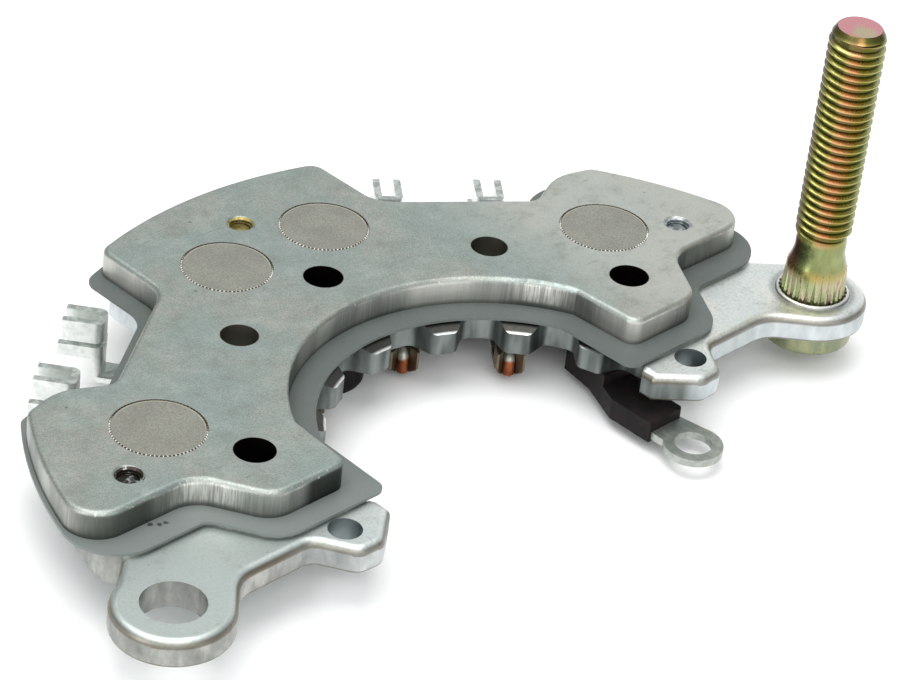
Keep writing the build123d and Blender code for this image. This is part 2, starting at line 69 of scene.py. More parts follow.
def mount(name):
    """Place of a mount."""
    for entry in frame["record"]["mounts"]:
        if entry["name"] == name:
            return Vector(entry["pos_m"]) / MM
    raise ValueError("no mount named " + name)


PLATE_TOP = top("negative_heat_sink")
SHEET_TOP = top("insulating_sheet")

# The ears lie lower than the rest of the casting
EAR_STEP = 0.4
EAR_TOP = top("positive_heat_sink") - EAR_STEP
EAR_BOTTOM = bottom("positive_heat_sink")
STUD = middle("output_stud")

# The photograph's stud is shorter than the solid
STUD_SHORTER = 1.5
STUD_TOP = top("output_stud") - STUD_SHORTER
STUD_BOTTOM = bottom("output_stud")

DIODES = [middle(f"negative_diode_{number}") for number in range(1, 5)]
SCREWS = [middle(f"assembly_screw_{number}") for number in range(1, 4)]
SCREW_TIP = top("assembly_screw_1")
BOLT_HOLES = [mount("bolt_hole_" + side) for side in ("right", "back", "left")]
BOLT_HOLE_RADIUS = 2.75
SMALL_HOLE_RADIUS = 2.25
SMALL_HOLES = [mount("small_ear_hole_" + side) for side in ("right", "left")]

# Locating holes of the plate, by their circle about the rotor's axis
LOCATING_CIRCLE = 38.0
LOCATING_ANGLES = (50.0, 120.0)
LOCATING_RADIUS = 2.6
LOCATING_HOLES = [
    Vector((cos(radians(angle)), sin(radians(angle)), 0)) * LOCATING_CIRCLE for angle in LOCATING_ANGLES
]

# Output stud: M8 x 1.25, knurled under its neck
THREAD_PITCH = 1.25
THREAD_DEPTH = 0.66
THREAD_RADIUS = 4.0
THREAD_START = 20.0
TIP_RADIUS = 3.1
SHOULDER_RADIUS = 3.75
TIP_HEIGHT = 0.95
NECK_RADIUS = 3.6
NECK_BOTTOM = 18.2
SHANK_RADIUS = 4.3
FLARE_BOTTOM = 13.2
FLARE_RADIUS = 4.62
HEAD_RADIUS = 6.5
HEAD_ROUND = 0.9
HEAD_STEPS = 5
FLARE_STEPS = 10
KNURL_RIDGES = 28
KNURL_TOP = 15.4
KNURL_CIRCLE = 4.15
KNURL_SIZE = 0.5
KNURL_TIP = 0.14

# Ring pressed up round the knurl: radius, and height over the ear
SWAGE = ((4.7, -0.1), (4.76, 0.28), (4.92, 0.4), (5.12, 0.36), (5.32, 0.16), (5.42, -0.1))
SWAGE_WAVE = 0.06

# Threads of the tapped holes
TAP_RADIUS = 1.79
TAP_PITCH = 0.5
TAP_DEPTH = 0.3
TAP_WIDTH = 0.44
TAP_TURNS = 2.2
TAP_DROP = 0.35

# Teeth between each diode and its hole
TEETH = 72
TEETH_CIRCLE = 6.24
TEETH_SIZE = 0.34
TEETH_LENGTH = 0.36
TEETH_PROUD = 0.05

# Where the finishes, and the light and shade painted into them, change over the part, each from one place
# to another
LIT_RIGHT_WING = (18.0, 42.0)
LEFT_EAR = (-45.0, -20.0)
ARC_WALL = (33.0, 36.0)
ARC_LEFT_END = (-22.0, -8.0)
LEFT_CORNER_X = (-53.0, -50.0)
LEFT_CORNER_Y = (14.0, 18.0)
LOBE_WALLS = (28.5, 30.0)
LOBE_BEVEL = (26.6, 26.8)
LOBE_TIP = (24.5, 24.9)
SHEET_FRONT = (-40.0, 0.0)
STUD_SHADE_START = (5.3, 5.5)
STUD_SHADE_END = (5.6, 6.6)
DIODE_RIM = (5.9, 6.02)
CLIPS = (30.5, 32.0)
EYELET = (-5.4, -5.0)
LEAD_TINNING = (3.3, 3.7)
KNURL_END = (13.4, 15.4)

# Camera: the photograph's own view
CAMERA_PLACE = Vector((-285.17, -241.65, 265.71)) * MM
CAMERA_RIGHT = Vector((0.7078, -0.6997, 0.0977)).normalized()
CAMERA_FORWARD = Vector((0.6267, 0.5580, -0.5440)).normalized()
CAMERA_LENS = 137.07
TO_CAMERA = (-0.747, -0.665)


def make_camera():
    """Camera that looks along CAMERA_FORWARD, rolled so that CAMERA_RIGHT is level in the frame."""
    data = bpy.data.cameras.new("camera")
    data.sensor_width = 36.0
    data.sensor_fit = "HORIZONTAL"
    data.lens = CAMERA_LENS
    data.clip_start = 0.02
    data.clip_end = 20.0
    camera = bpy.data.objects.new("camera", data)
    bpy.context.scene.collection.objects.link(camera)
    back = -CAMERA_FORWARD
    up = back.cross(CAMERA_RIGHT).normalized()
    right = up.cross(back).normalized()
    turn = Matrix((right, up, back)).transposed()
    camera.matrix_world = Matrix.Translation(CAMERA_PLACE) @ turn.to_4x4()
    bpy.context.scene.camera = camera


# Node arithmetic, for materials, the surround and the repeated pieces
class Field:
    """A value that varies over a surface; arithmetic on it adds Math nodes."""

    def __init__(self, network, socket):
        self.network, self.socket = network, socket

    def math(self, operation, *others):
        return self.network.math(operation, self, *others)

    def __add__(self, other):
        return self.math("ADD", other)

    def __radd__(self, other):
        return self.network.math("ADD", other, self)

    def __sub__(self, other):
        return self.math("SUBTRACT", other)

    def __rsub__(self, other):
        return self.network.math("SUBTRACT", other, self)

    def __mul__(self, other):
        return self.math("MULTIPLY", other)

    def __rmul__(self, other):
        return self.network.math("MULTIPLY", other, self)

    def __truediv__(self, other):
        return self.math("DIVIDE", other)

    def __rtruediv__(self, other):
        return self.network.math("DIVIDE", other, self)

    def above(self, low, high):
        """0 under low, 1 over high, smooth between."""
        return self.network.step(self, low, high)

    def below(self, low, high):
        """1 under low, 0 over high, smooth between."""
        return 1.0 - self.network.step(self, low, high)


class Network:
    """A node tree in the making."""

    def __init__(self, tree):
        self.tree = tree

    def link(self, target, value):
        """Link a field or socket to an input, or set the input to a constant."""
        if isinstance(value, Field):
            value = value.socket
        if isinstance(value, bpy.types.NodeSocket):
            self.tree.links.new(value, target)
        else:
            target.default_value = value

    def node(self, kind, settings=(), **inputs):
        """Any node: its kind, then its settings, then its inputs by name or i0, i1 ... by number."""
        node = self.tree.nodes.new(kind)
        for label, value in dict(settings).items():
            setattr(node, label, value)
        for label, value in inputs.items():
            numbered = label[0] == "i" and label[1:].isdigit()
            target = node.inputs[int(label[1:])] if numbered else node.inputs[label.replace("_", " ")]
            self.link(target, value)
        return node

    def math(self, operation, *values):
        inputs = {f"i{index}": value for index, value in enumerate(values)}
        return Field(self, self.node("ShaderNodeMath", {"operation": operation}, **inputs).outputs[0])

    def vector(self, operation, *values, **named):
        inputs = {f"i{index}": value for index, value in enumerate(values)}
        return self.node("ShaderNodeVectorMath", {"operation": operation}, **inputs, **named).outputs[0]

    def join(self, x, y, z):
        return self.node("ShaderNodeCombineXYZ", X=x, Y=y, Z=z).outputs[0]

    def split(self, vector):
        parts = self.node("ShaderNodeSeparateXYZ", Vector=vector).outputs
        return [Field(self, parts[axis]) for axis in "XYZ"]

    def step(self, value, low, high):
        settings = {"interpolation_type": "SMOOTHSTEP"}
        node = self.node("ShaderNodeMapRange", settings, Value=value, From_Min=low, From_Max=high)
        return Field(self, node.outputs["Result"])


# Studio: a white sweep, a surround that is darkest in front, and soft lights
FLOOR_REACH = 3.0
FLOOR_GAP = 0.02


def make_floor():
    """Pale floor, a hair under the feet."""
    reach = FLOOR_REACH
    corners = [(-reach, -reach, 0), (reach, -reach, 0), (reach, reach, 0), (-reach, reach, 0)]
    mesh = bpy.data.meshes.new("studio_floor")
    mesh.from_pydata(corners, [], [(0, 1, 2, 3)])
    floor = bpy.data.objects.new("studio_floor", mesh)
    bpy.context.scene.collection.objects.link(floor)
    floor.location.z = -FLOOR_GAP * MM
    material = bpy.data.materials.new("studio_white")
    material.use_nodes = True
    shader = material.node_tree.nodes["Principled BSDF"]
    shader.inputs["Base Color"].default_value = (0.95, 0.95, 0.95, 1)
    shader.inputs["Roughness"].default_value = 0.9
    mesh.materials.append(material)


def make_light(name, direction, distance, size, power):
    """Soft light that faces the part from a direction."""
    data = bpy.data.lights.new(name, "AREA")
    data.shape = "RECTANGLE"
    data.size, data.size_y = size
    data.energy = power
    light = bpy.data.objects.new(name, data)
    bpy.context.scene.collection.objects.link(light)
    away = Vector(direction).normalized()
    light.location = away * distance
    light.rotation_mode = "QUATERNION"
    light.rotation_quaternion = away.to_track_quat("Z", "Y")


def make_studio():
    """Surround and lights."""
    scene = bpy.context.scene
    scene.view_settings.view_transform = "Standard"
    world = bpy.data.worlds.new("studio")
    scene.world = world
    world.use_nodes = True
    n = Network(world.node_tree)
    x, y, z = n.split(n.node("ShaderNodeTexCoord").outputs["Generated"])
    front_right = (x * 0.77 - y * 0.64).above(0.3, 0.9)
    low = z.below(0.05, 0.5)
    right_glow = (x * 0.93 + y * 0.37).above(0.75, 0.88)
    behind_camera = (x * -0.75 - y * 0.66).above(0.1, 0.8)
    glow = 0.8 * right_glow + 0.8 * behind_camera
    strength = 0.28 + 0.22 * z.above(0.0, 0.5) + glow - 0.18 * front_right * low
    surround = world.node_tree.nodes["Background"]
    surround.inputs["Color"].default_value = (0.97, 0.99, 1.0, 1)
    n.link(surround.inputs["Strength"], strength)
    make_light("key", (-0.1, 0.1, 1.0), 1.3, (1.2, 1.2), 14.0)
    make_light("left_window", (-1.0, 0.0, 0.3), 1.0, (0.25, 0.5), 2.0)
    make_light("front_fill", (-0.5, -0.8, 0.9), 1.3, (0.5, 0.5), 2.5)


def tone(red, green, blue):
    """Linear colour of an 8-bit screen colour."""
    def linear(value):
        value /= 255
        return value / 12.92 if value <= 0.04045 else ((value + 0.055) / 1.055) ** 2.4
    return (linear(red), linear(green), linear(blue), 1.0)


class Finish(Network):
    """A material in the making, with places in millimetres."""

    def __init__(self, name, **constants):
        self.material = bpy.data.materials.new(name)
        self.material.use_nodes = True
        super().__init__(self.material.node_tree)
        self.shader = self.tree.nodes["Principled BSDF"]
        for label, value in constants.items():
            self.shader.inputs[label.replace("_", " ")].default_value = value
        coordinates = self.node("ShaderNodeTexCoord").outputs
        self.place = self.vector("SCALE", coordinates["Object"], Scale=1 / MM)
        self.x, self.y, self.z = self.split(self.place)
        self.up = self.split(coordinates["Normal"])[2]
        self.flat = self.vector("MULTIPLY", self.place, (1, 1, 0))

    def stretched(self, x, y, z):
        """Coordinates scaled on each axis."""
        return self.vector("MULTIPLY", self.place, (x, y, z))

    def reach(self, *centres):
        """Distance to the nearest of some upright axes."""
        nearest = None
        for centre in centres:
            axis = (centre[0], centre[1], 0)
            node = self.node("ShaderNodeVectorMath", {"operation": "DISTANCE"}, i0=self.flat, i1=axis)
            distance = Field(self, node.outputs["Value"])
            nearest = distance if nearest is None else nearest.math("MINIMUM", distance)
        return nearest

    def nearness(self, centres, radius):
        """Which side of the nearest centre a place is on: 1 towards the camera, -1 away from it."""
        total = 0.0
        for centre in centres:
            offset = (self.x - centre[0]) * TO_CAMERA[0] + (self.y - centre[1]) * TO_CAMERA[1]
            total = total + offset * self.reach(centre).below(radius * 1.1, radius * 1.2)
        return total * (1 / radius)

    def noise(self, scale, detail=2.0, roughness=0.5, at=None):
        """Cloudy noise from 0 to 1; scale is in waves per millimetre."""
        place = self.place if at is None else at
        node = self.node(
            "ShaderNodeTexNoise",
            Vector=place,
            Scale=scale,
            Detail=detail,
            Roughness=roughness,
        )
        return Field(self, node.outputs["Fac"])

    def cells(self, scale):
        """Distance to the nearest of scattered points."""
        node = self.node("ShaderNodeTexVoronoi", Vector=self.place, Scale=scale)
        return Field(self, node.outputs["Distance"])

    def blend(self, factor, first, second):
        """Colour that goes from first to second."""
        node = self.node("ShaderNodeMix", {"data_type": "RGBA"}, Factor=factor)
        self.link(node.inputs[6], first)
        self.link(node.inputs[7], second)
        return node.outputs[2]

    def ramp(self, value, *stops):
        """Colour through (position, colour) stops."""
        node = self.node("ShaderNodeValToRGB", Fac=value)
        elements = node.color_ramp.elements
        while len(elements) < len(stops):
            elements.new(0.5)
        for element, (position, colour) in zip(elements, stops):
            element.position = position
            element.color = colour
        return node.outputs["Color"]

    def bump(self, height, distance, strength=1.0, after=None):
        """Normal of a height from 0 to 1 that stands for a distance in millimetres."""
        node = self.node("ShaderNodeBump", Height=height, Distance=distance * MM, Strength=strength)
        if after is not None:
            self.link(node.inputs["Normal"], after)
        return node.outputs["Normal"]

    def set(self, **inputs):
        for label, value in inputs.items():
            self.link(self.shader.inputs[label.replace("_", " ")], value)
        return self.material


# Stretches of the plate's wall that carry painted highlights
WALL_HIGHLIGHTS = ((-44.4, 9.4), (-45.2, 11.6), (23.9, 18.4))


# Finishes
def stamped_aluminium():
    """Negative heat sink: matt rolled face, rolled edge, sheared walls with fine upright striations."""
    f = Finish("stamped_aluminium", Metallic=1.0)
    tilt = f.up.math("ABSOLUTE")
    wall = tilt.below(0.2, 0.6)
    rolled = tilt.above(0.1, 0.4) * tilt.below(0.8, 0.98)
    cloud = f.noise(0.06, 2, 0.5)
    mottle = f.noise(0.5, 4, 0.65)
    grain = f.noise(4.5, 4, 0.75)
    face = f.blend(cloud.above(0.38, 0.62), tone(168, 181, 178), tone(188, 187, 178))
    face = f.blend(mottle.above(0.35, 0.7) * 0.7, face, tone(166, 178, 171))
    face = f.blend(grain.above(0.3, 0.7) * 0.85, face, tone(134, 143, 138))
    # Painted light: the face's right wing is painted lighter
    face = f.blend(f.x.above(*LIT_RIGHT_WING) * 0.55, face, tone(208, 208, 200))
    smudge = f.noise(0.28, 5, 0.75)
    face = f.blend(smudge.above(0.48, 0.72) * 0.5, face, tone(138, 143, 134))
    face = f.blend(smudge.below(0.3, 0.5) * 0.25, face, tone(200, 204, 198))
    scratch = f.noise(1.6, 2, 0.5, at=f.stretched(0.1, 1.2, 1.0)).above(0.66, 0.76)
    face = f.blend(scratch * mottle.above(0.4, 0.6) * 0.5, face, tone(124, 132, 130))
    speck = f.cells(0.16).below(0.03, 0.055)
    face = f.blend(speck * 0.5, face, tone(96, 98, 96))
    streak = f.noise(3.0, 3, 0.65, at=f.stretched(1, 1, 0.06))
    broad = f.noise(0.11, 2, 0.5, at=f.stretched(1, 1, 0.3))
    side = f.ramp(
        streak,
        (0.3, tone(142, 145, 141)),
        (0.5, tone(154, 156, 151)),
        (0.72, tone(172, 173, 167)),
    )
    side = f.blend(broad.above(0.48, 0.66) * 0.7, side, tone(216, 215, 208))
    side = f.blend(broad.below(0.36, 0.48) * 0.5, side, tone(96, 98, 92))
    # Painted shade: the walls darken towards their foot, where they meet the sheet
    side = f.blend(f.z.below(SHEET_TOP, SHEET_TOP + 0.9) * 0.6, side, tone(70, 72, 68))
    # Painted shade: the left part of the inner arc's wall is painted nearly black, as the reflection of
    # the shaded inside
    shaded_arc_left = f.reach((0, 0)).below(*ARC_WALL) * f.x.below(*ARC_LEFT_END)
    side = f.blend(shaded_arc_left * 0.9, side, tone(40, 46, 42))
    # Painted shade: the walls at the left corner are painted darker
    shaded_left_corner = f.x.below(*LEFT_CORNER_X) * f.y.below(*LEFT_CORNER_Y)
    side = f.blend(shaded_left_corner * 0.7, side, tone(84, 88, 82))
    # Painted highlight: bright streaky patches on the walls at these stretches
    wall_highlight = f.reach(*WALL_HIGHLIGHTS).below(1.0, 5.0) * (0.35 + 0.65 * streak.above(0.4, 0.6))
    side = f.blend(wall_highlight * f.z.above(SHEET_TOP + 0.4, SHEET_TOP + 1.2), side, tone(238, 236, 230))
    colour = f.blend(wall, face, side)
    # Brighter flecks along the rolled edge
    edge_fleck = f.noise(1.4, 3, 0.7).above(0.6, 0.68)
    colour = f.blend(rolled * edge_fleck * 0.6, colour, tone(236, 234, 226))
    # Painted shade: the bolt holes' bores are painted nearly black
    bolt_hole_shade = f.reach(*BOLT_HOLES).below(BOLT_HOLE_RADIUS + 0.02, BOLT_HOLE_RADIUS + 0.08)
    colour = f.blend(bolt_hole_shade, colour, tone(34, 28, 24))
    # Painted shade: the locating holes' bores are painted darker
    locating = f.reach(*LOCATING_HOLES).below(LOCATING_RADIUS + 0.02, LOCATING_RADIUS + 0.08)
    locating_bore_shade = f.blend(cloud.above(0.4, 0.6), tone(120, 116, 106), tone(146, 142, 132))
    colour = f.blend(locating, colour, locating_bore_shade)
    rough = 0.46 + grain * 0.14 - wall * 0.08 - rolled * 0.06
    relief = f.bump(streak, 0.04, wall * 0.4)
    relief = f.bump(grain + mottle, 0.02, 0.6, relief)
    return f.set(Base_Color=colour, Roughness=rough, Normal=relief)


def cast_aluminium():
    """Positive heat sink: bright casting, tumbled, with streaky ear walls, the left ear painted darker as
    shade, painted reflection on its rolled edges and painted shade on its lobes' walls and bevels.
    """
    f = Finish("cast_aluminium", Metallic=1.0)
    tilt = f.up.math("ABSOLUTE")
    wall = tilt.below(0.2, 0.6)
    cloud = f.noise(0.12, 3, 0.5)
    grain = f.noise(2.4, 4, 0.6)
    face = f.blend(cloud.above(0.35, 0.65), tone(228, 234, 231), tone(238, 238, 233))
    # Painted shade: the left ear's face and walls are painted darker than the right ear's
    left_ear = f.x.below(*LEFT_EAR)
    face = f.blend(left_ear, face, f.blend(cloud, tone(196, 206, 201), tone(204, 212, 208)))
    face = f.blend(grain.above(0.35, 0.75) * 0.45, face, tone(176, 184, 180))
    smudge = f.noise(0.3, 4, 0.7)
    face = f.blend(smudge.above(0.54, 0.7) * 0.4, face, tone(170, 174, 166))
    speck = f.cells(0.3).below(0.03, 0.06)
    face = f.blend(speck * 0.5, face, tone(130, 126, 116))
    streak = f.noise(0.35, 4, 0.6, at=f.stretched(1, 1, 0.5))
    # Walls: a lighter copy for the right ear and a painted-shade copy for the left
    bright = f.ramp(
        streak,
        (0.3, tone(176, 183, 184)),
        (0.5, tone(194, 200, 201)),
        (0.7, tone(212, 217, 217)),
    )
    shaded_wall = f.ramp(
        streak,
        (0.3, tone(124, 126, 122)),
        (0.5, tone(150, 151, 147)),
        (0.7, tone(186, 186, 180)),
    )
    side = f.blend(left_ear, bright, shaded_wall)
    # Painted shade: the lobes' walls are painted dark, with a painted sheen in soft upright bands
    sheen = f.noise(0.5, 2, 0.5, at=f.stretched(1, 1, 0.25)).above(0.3, 0.72)
    axis = f.reach((0, 0))
    side = f.blend(axis.below(*LOBE_WALLS), side, f.blend(sheen, tone(84, 90, 86), tone(132, 138, 136)))
    colour = f.blend(wall, face, side)
    # Painted reflection: the outer part of each rolled edge is painted dark olive-brown
    dark_edge_reflection = tilt.above(0.05, 0.2) * tilt.below(0.6, 0.88)
    colour = f.blend(dark_edge_reflection * (0.4 + 0.6 * cloud), colour, tone(104, 93, 74))
    # Painted shade: the lobes' bevels under the sheet are painted nearly black
    bevel_shade = axis.below(*LOBE_BEVEL) * tilt.above(0.4, 0.7) * f.y.above(0.5, 2.0)
    colour = f.blend(bevel_shade * axis.above(*LOBE_TIP) * 0.95, colour, tone(44, 43, 38))
    # Painted shade: the small holes' bores are painted darker
    small_bore_shade = f.reach(*SMALL_HOLES).below(SMALL_HOLE_RADIUS + 0.02, SMALL_HOLE_RADIUS + 0.08) * wall
    colour = f.blend(small_bore_shade * 0.8, colour, f.blend(cloud, tone(104, 116, 118), tone(140, 150, 152)))
    # Painted shadow: a darker ring on the ear just outside the swage ring
    from_stud = f.reach(STUD)
    stud_shadow = from_stud.above(*STUD_SHADE_START) * from_stud.below(*STUD_SHADE_END)
    colour = f.blend(stud_shadow * (1.0 - wall) * 0.55, colour, tone(120, 128, 126))
    rough = 0.36 + grain * 0.16
    relief = f.bump(streak, 0.1, wall * 0.5)
    relief = f.bump(grain, 0.02, 0.6, relief)
    return f.set(Base_Color=colour, Roughness=rough, Normal=relief)


# Small scuffs that the sheet shows beside the left tongue
SHEET_SCUFFS = ((-52.1, 12.0), (-51.2, 11.3), (-50.3, 11.1))
SCUFF_RADIUS = 0.42


def insulating_sheet():
    """Grey fibre sheet."""
    f = Finish("insulating_sheet", Roughness=0.5, Specular_IOR_Level=0.45)
    cloud = f.noise(0.12, 3, 0.5)
    grain = f.noise(5.0, 3, 0.6)
    colour = f.blend(cloud, tone(82, 89, 86), tone(96, 102, 99))
    # Painted light: the sheet's front-left part is painted lighter than the part by the plate
    front = (f.x + f.y * 0.8).below(*SHEET_FRONT)
    colour = f.blend(front, colour, f.blend(cloud, tone(108, 115, 112), tone(120, 126, 123)))
    colour = f.blend(grain.above(0.5, 0.8) * 0.25, colour, tone(136, 141, 138))
    scuff = (f.reach(*SHEET_SCUFFS) + (grain - 0.5) * 0.5).below(SCUFF_RADIUS * 0.6, SCUFF_RADIUS)
    colour = f.blend(scuff * 0.85, colour, tone(38, 40, 38))
    return f.set(Base_Color=colour, Normal=f.bump(grain, 0.015, 0.4))


def diode_nickel():
    """Press-fit diodes: warm satin nickel with a fine grain, with painted shade on the chamfer in the
    groove round them and a painted highlight on the far rim.
    """
    f = Finish("diode_nickel", Metallic=0.85)
    tilt = f.up.math("ABSOLUTE")
    cloud = f.noise(0.2, 3, 0.6)
    grain = f.noise(4.0, 3, 0.65)
    colour = f.blend(cloud.above(0.35, 0.65), tone(166, 166, 155), tone(154, 154, 144))
    colour = f.blend(grain.above(0.35, 0.7) * 0.8, colour, tone(130, 129, 120))
    # Painted highlight: a bright line on each rim, on the side away from the camera
    rim = f.reach(*DIODES).above(*DIODE_RIM)
    highlight_side = f.nearness(DIODES, TEETH_CIRCLE).below(-0.6, 0.1)
    colour = f.blend(rim * highlight_side * 0.7, colour, tone(216, 212, 196))
    # Painted shade: the chamfer down into the groove is painted dark
    colour = f.blend(tilt.below(0.8, 0.95), colour, tone(70, 64, 54))
    return f.set(Base_Color=colour, Roughness=0.42 + grain * 0.14, Normal=f.bump(grain, 0.01, 0.6))


def bright_teeth():
    """Raised edge of the press fit: nickel painted bright as glints, with painted shade on the side away
    from the camera.
    """
    f = Finish("bright_teeth", Metallic=0.6)
    patch = f.noise(1.1, 2, 0.5)
    # Painted highlight: near-white patches stand for glints on the teeth
    colour = f.blend(patch.above(0.5, 0.7), tone(255, 253, 246), tone(214, 206, 188))
    near = f.nearness(DIODES, TEETH_CIRCLE)
    # Painted shade: the teeth on the side away from the camera are painted darker
    colour = f.blend(near.below(-0.35, 0.15), colour, tone(112, 102, 84))
    return f.set(Base_Color=colour, Roughness=0.14 + 0.14 * patch)


def yellow_zinc():
    """Yellow zinc plating: olive and gold in the thread, with pink, salmon and green bands round it,
    partly the plating's own tint and partly painted reflection.
    """
    f = Finish("yellow_zinc", Metallic=0.95)
    half_turn = f.math("ARCTAN2", STUD.y - f.y, STUD.x - f.x) / (2 * pi)
    drift = f.noise(0.5, 3, 0.6, at=f.stretched(1, 1, 0.3))
    # Bands laid by angle round the axis: the plating's tint mixed with painted reflection
    tint_and_reflection = half_turn + 0.5 + (drift - 0.5) * 0.12
    thread = f.ramp(
        tint_and_reflection,
        (0.05, tone(150, 150, 108)),
        (0.36, tone(172, 156, 152)),
        (0.43, tone(150, 148, 84)),
        (0.52, tone(196, 190, 116)),
        (0.60, tone(206, 152, 112)),
        (0.68, tone(156, 138, 68)),
        (0.80, tone(162, 166, 108)),
        (0.88, tone(148, 154, 120)),
    )
    # Painted shade: the thread's roots are painted dark olive
    groove = f.reach(STUD).below(3.45, 3.85) * f.z.above(THREAD_START - 0.4, THREAD_START + 0.4)
    root = f.blend(drift.above(0.4, 0.6), tone(80, 70, 22), tone(62, 74, 30))
    thread = f.blend(groove * 0.8, thread, root)
    neck = f.ramp(
        tint_and_reflection,
        (0.05, tone(150, 154, 112)),
        (0.36, tone(120, 84, 78)),
        (0.43, tone(96, 58, 48)),
        (0.50, tone(104, 116, 74)),
        (0.60, tone(142, 150, 104)),
        (0.70, tone(150, 156, 108)),
        (0.82, tone(148, 160, 118)),
        (0.90, tone(196, 170, 156)),
    )
    patch = f.noise(0.45, 4, 0.6, at=f.stretched(1, 1, 0.4))
    neck = f.blend(patch.above(0.42, 0.6) * 0.5, neck, tone(118, 122, 74))
    neck = f.blend(patch.above(0.25, 0.7) * f.z.below(14.5, 16.5) * 0.8, neck, tone(186, 150, 72))
    fine = f.noise(1.6, 2, 0.5, at=f.stretched(1, 1, 0.15))
    knurl = f.blend(fine.above(0.42, 0.58), tone(160, 172, 124), tone(190, 170, 150))
    knurl = f.blend(fine.above(0.58, 0.72), knurl, tone(96, 84, 64))
    colour = f.blend(f.z.above(THREAD_START - 0.8, THREAD_START + 0.2), neck, thread)
    colour = f.blend(f.z.below(*KNURL_END), colour, knurl)
    head = f.blend(patch.above(0.4, 0.6), tone(150, 152, 116), tone(128, 136, 112))
    colour = f.blend(f.z.below(EAR_BOTTOM, EAR_BOTTOM + 0.5), colour, head)
    beige = (f.reach(STUD + Vector((-0.9, -1.6, 0))) + (patch - 0.5) * 2.5).below(1.2, 2.2)
    tip = f.blend(beige, tone(196, 134, 138), tone(176, 160, 132))
    flat_end = f.up.above(0.9, 0.98) * f.z.above(STUD_TOP - 1, STUD_TOP - 0.3)
    colour = f.blend(flat_end, colour, tip)
    grain = f.noise(5.0, 2, 0.5)
    return f.set(Base_Color=colour, Roughness=0.2 + grain * 0.12, Normal=f.bump(grain, 0.012, 0.5))


def tinned_steel():
    """Tin-plated strip: bright satin with soft smears, its tops painted darker as shade, painted shade in
    the clips, and darker at the eyelet.
    """
    f = Finish("tinned_steel", Metallic=0.9)
    smear = f.noise(0.8, 3, 0.6)
    grain = f.noise(5.0, 3, 0.6)
    colour = f.blend(smear.above(0.35, 0.7), tone(236, 239, 236), tone(214, 218, 214))
    # Painted shade: faces that look up are painted darker than the walls
    shaded_top = f.blend(smear.above(0.4, 0.6), tone(206, 213, 207), tone(168, 174, 168))
    colour = f.blend(f.up.above(0.6, 0.9), colour, shaded_top)
    # Painted shade: the clips are painted dark brown
    clip_shade = f.reach((0, 0)).below(*CLIPS) * f.y.above(0, 2)
    colour = f.blend(clip_shade, colour, f.blend(smear, tone(84, 72, 54), tone(128, 118, 98)))
    # Darker at the eyelet
    eyelet_tone = f.blend(smear.above(0.35, 0.65), tone(154, 159, 152), tone(176, 180, 174))
    colour = f.blend(f.y.below(*EYELET), colour, eyelet_tone)
    relief = f.bump(smear + grain * 0.4, 0.03, 0.6)
    return f.set(Base_Color=colour, Roughness=0.3 + smear * 0.14, Normal=relief)


def black_moulding():
    """Glass-filled plastic, near black with a faint brown cast."""
    f = Finish("black_moulding", Specular_IOR_Level=0.2)
    cloud = f.noise(0.5, 3, 0.6)
    grain = f.noise(4.0, 3, 0.6)
    colour = f.blend(cloud.above(0.3, 0.7), tone(12, 13, 13), tone(28, 21, 19))
    return f.set(Base_Color=colour, Roughness=0.55 + grain * 0.15, Normal=f.bump(grain, 0.02, 0.5))


def lead_wire():
    """Copper wire, tinned where it enters the joint."""
    f = Finish("lead_wire", Metallic=0.7)
    patch = f.noise(0.9, 3, 0.6)
    colour = f.blend(patch.above(0.35, 0.7), tone(150, 84, 48), tone(106, 54, 30))
    tinned = (f.z + (patch - 0.5) * 0.8).above(*LEAD_TINNING)
    colour = f.blend(tinned, colour, tone(176, 176, 164))
    return f.set(Base_Color=colour, Roughness=0.36 + patch * 0.2, Normal=f.bump(patch, 0.05, 0.4))


def screw_zinc():
    """Zinc-plated screws; the one at the back is yellow, and the left one carries patches of painted
    shade.
    """
    f = Finish("screw_zinc", Metallic=0.9)
    patch = f.noise(1.2, 3, 0.6)
    colour = f.blend(patch.above(0.3, 0.7), tone(196, 204, 206), tone(104, 110, 112))
    # Painted shade: the left screw's tip is painted dark in patches
    left = f.reach(SCREWS[2]).below(5.0, 6.0)
    colour = f.blend(left * patch.above(0.3, 0.5), colour, tone(58, 52, 46))
    yellow = f.reach(SCREWS[1]).below(5.0, 6.0)
    gold = f.blend(patch.above(0.3, 0.7), tone(176, 164, 104), tone(112, 98, 46))
    colour = f.blend(yellow, colour, gold)
    return f.set(Base_Color=colour, Roughness=0.3 + patch * 0.2, Normal=f.bump(patch, 0.03, 0.4))


def finish_nodes():
    """Give every CAD node the material of its slot."""
    finishes = {
        "stamped_aluminium": stamped_aluminium(),
        "cast_aluminium": cast_aluminium(),
        "insulating_sheet": insulating_sheet(),
        "diode_nickel": diode_nickel(),
        "yellow_zinc": yellow_zinc(),
        "tinned_steel": tinned_steel(),
        "black_moulding": black_moulding(),
        "lead_wire": lead_wire(),
        "screw_zinc": screw_zinc(),
    }
    for part in frame["record"]["subparts"]:
        node = frame["nodes"][part["node"]]
        for slot in node.material_slots:
            slot.material = finishes[part["material_slot"]]
    return finishes


